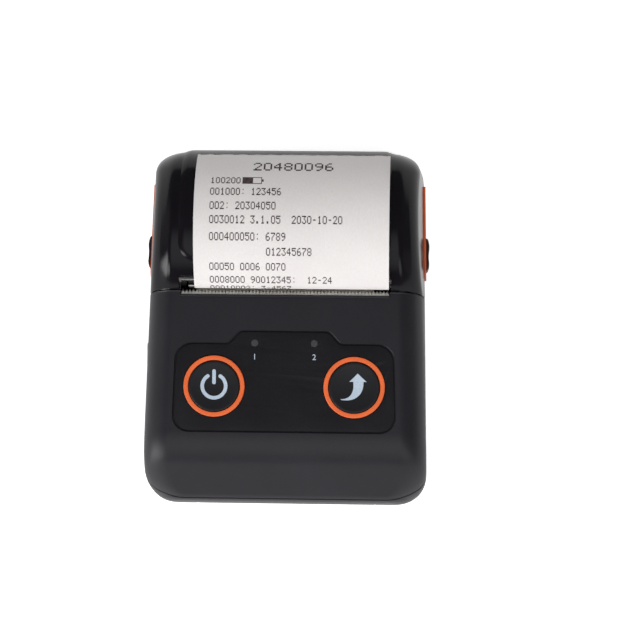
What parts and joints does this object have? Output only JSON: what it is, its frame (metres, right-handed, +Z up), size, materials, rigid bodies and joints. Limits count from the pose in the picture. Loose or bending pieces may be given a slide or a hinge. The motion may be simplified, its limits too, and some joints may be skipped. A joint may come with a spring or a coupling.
{
  "type": "portable receipt printer",
  "caption": "Portable receipt printer: clamshell paper lid, ringed keys, side release levers, tear bar and a full thermal print mechanism.",
  "frame": {"origin": "on the ground in the middle of the footprint", "axes": "+X to the right seen from the front, +Y towards the lid's hinge at the rear, +Z up"},
  "size_m": [0.0848, 0.104, 0.0491],
  "materials": {
    "case_plastic": "fine spark texture",
    "lid_gloss": "polished",
    "inner_plastic": "plain moulded",
    "orange_plastic": "satin",
    "panel_film": "fine textured film",
    "key_plastic": "satin, dished",
    "foot_rubber": "matt",
    "platen_rubber": "ground",
    "steel": "bright",
    "chassis_steel": "pressed sheet",
    "aluminium": "milled",
    "brass": "turned",
    "gear_plastic": "natural acetal",
    "receipt_paper": "smooth thermal",
    "core_cardboard": "wound",
    "circuit_board": "solder mask",
    "battery_wrap": "shrink sleeve",
    "head_ceramic": "glazed line",
    "flex_film": "polyimide",
    "light_pipe": "translucent"
  },
  "bodies": {
    "base": {"lower_case": "case_plastic", "upper_case": "case_plastic", "side_inlay_left": "orange_plastic", "side_inlay_right": "orange_plastic", "power_key_ring": "orange_plastic", "feed_key_ring": "orange_plastic", "keypad_panel": "panel_film", "light_pipe_left": "light_pipe", "light_pipe_right": "light_pipe", "main_board": "circuit_board", "key_switch_left": "inner_plastic", "key_switch_right": "inner_plastic", "usb_socket": "steel", "battery_pack": "battery_wrap", "battery_contacts": "brass", "print_chassis": "chassis_steel", "stepper_motor": "chassis_steel", "gear_axle": "steel", "tear_bar": "steel", "paper_sensor": "inner_plastic", "paper_bin": "inner_plastic", "hinge_pin": "steel", "lever_pin_left": "steel", "lever_pin_right": "steel", "case_screw_1": "steel", "case_screw_2": "steel", "case_screw_3": "steel", "case_screw_4": "steel", "foot_1": "foot_rubber", "foot_2": "foot_rubber", "foot_3": "foot_rubber", "foot_4": "foot_rubber", "head_flex_cable": "flex_film", "paper_web": "receipt_paper", "head_pivot_pin": "steel", "head_spring_left": "steel", "head_spring_right": "steel"},
    "head": {"print_head": "head_ceramic", "head_heatsink": "aluminium"},
    "lid": {"lid_shell": "lid_gloss", "lid_frame": "inner_plastic", "lid_guide_bar": "steel", "paper_strip": "receipt_paper", "platen_bush_left": "gear_plastic", "platen_bush_right": "gear_plastic"},
    "platen": {"platen_shaft": "steel", "platen_roller": "platen_rubber", "platen_gear": "gear_plastic"},
    "reduction": {"reduction_gear": "gear_plastic"},
    "rotor": {"motor_pinion": "brass"},
    "roll": {"paper_roll": "receipt_paper", "roll_core": "core_cardboard"},
    "power_button": {"power_key": "key_plastic"},
    "feed_button": {"feed_key": "key_plastic"},
    "left_lever": {"release_lever_left": "case_plastic"},
    "right_lever": {"release_lever_right": "case_plastic"},
    "cover": {"battery_cover": "case_plastic"}
  },
  "joints": [
    {"name": "lid_hinge", "type": "hinge", "parent": "base", "child": "lid", "pos_m": [0, 0.0493, 0.026], "axis": [-1, 0, 0], "range_deg": [0, 90]},
    {"name": "roll_spin", "type": "hinge", "parent": "base", "child": "roll", "pos_m": [0, 0.028, 0.0203], "axis": [-1, 0, 0], "continuous": true},
    {"name": "platen_spin", "type": "hinge", "parent": "lid", "child": "platen", "pos_m": [0, 0.0134, 0.034], "axis": [-1, 0, 0], "continuous": true},
    {"name": "reduction_spin", "type": "hinge", "parent": "base", "child": "reduction", "pos_m": [0, 0.01155, 0.0257], "axis": [-1, 0, 0], "continuous": true},
    {"name": "motor_spin", "type": "hinge", "parent": "base", "child": "rotor", "pos_m": [0, 0.0014, 0.01867], "axis": [-1, 0, 0], "continuous": true},
    {"name": "head_tilt", "type": "hinge", "parent": "base", "child": "head", "pos_m": [0, 0.0063, 0.025], "axis": [1, 0, 0], "range_deg": [0, 2.5], "stiffness_Nm_per_rad": 0.3, "deforming": ["head_spring_left", "head_spring_right"]},
    {"name": "power_key_press", "type": "slide", "parent": "base", "child": "power_button", "axis": [0, 0.1392, -0.9903], "range_m": [0, 0.0005], "stiffness_N_per_m": 800},
    {"name": "feed_key_press", "type": "slide", "parent": "base", "child": "feed_button", "axis": [0, 0.1392, -0.9903], "range_m": [0, 0.0005], "stiffness_N_per_m": 800},
    {"name": "left_lever_press", "type": "hinge", "parent": "base", "child": "left_lever", "pos_m": [-0.03727, 0.0288, 0.0197], "axis": [0, 0, 1], "range_deg": [0, 5], "stiffness_Nm_per_rad": 0.05},
    {"name": "right_lever_press", "type": "hinge", "parent": "base", "child": "right_lever", "pos_m": [0.03727, 0.0288, 0.0197], "axis": [0, 0, -1], "range_deg": [0, 5], "stiffness_Nm_per_rad": 0.05},
    {"name": "battery_cover_slide", "type": "slide", "parent": "base", "child": "cover", "axis": [0, -1, 0], "range_m": [0, 0.008]}
  ],
  "couplings": [
    {"joint": "platen_spin", "follows": "roll_spin", "ratio": 4.4444},
    {"joint": "reduction_spin", "follows": "roll_spin", "ratio": -2.963},
    {"joint": "motor_spin", "follows": "roll_spin", "ratio": 7.9012}
  ]
}
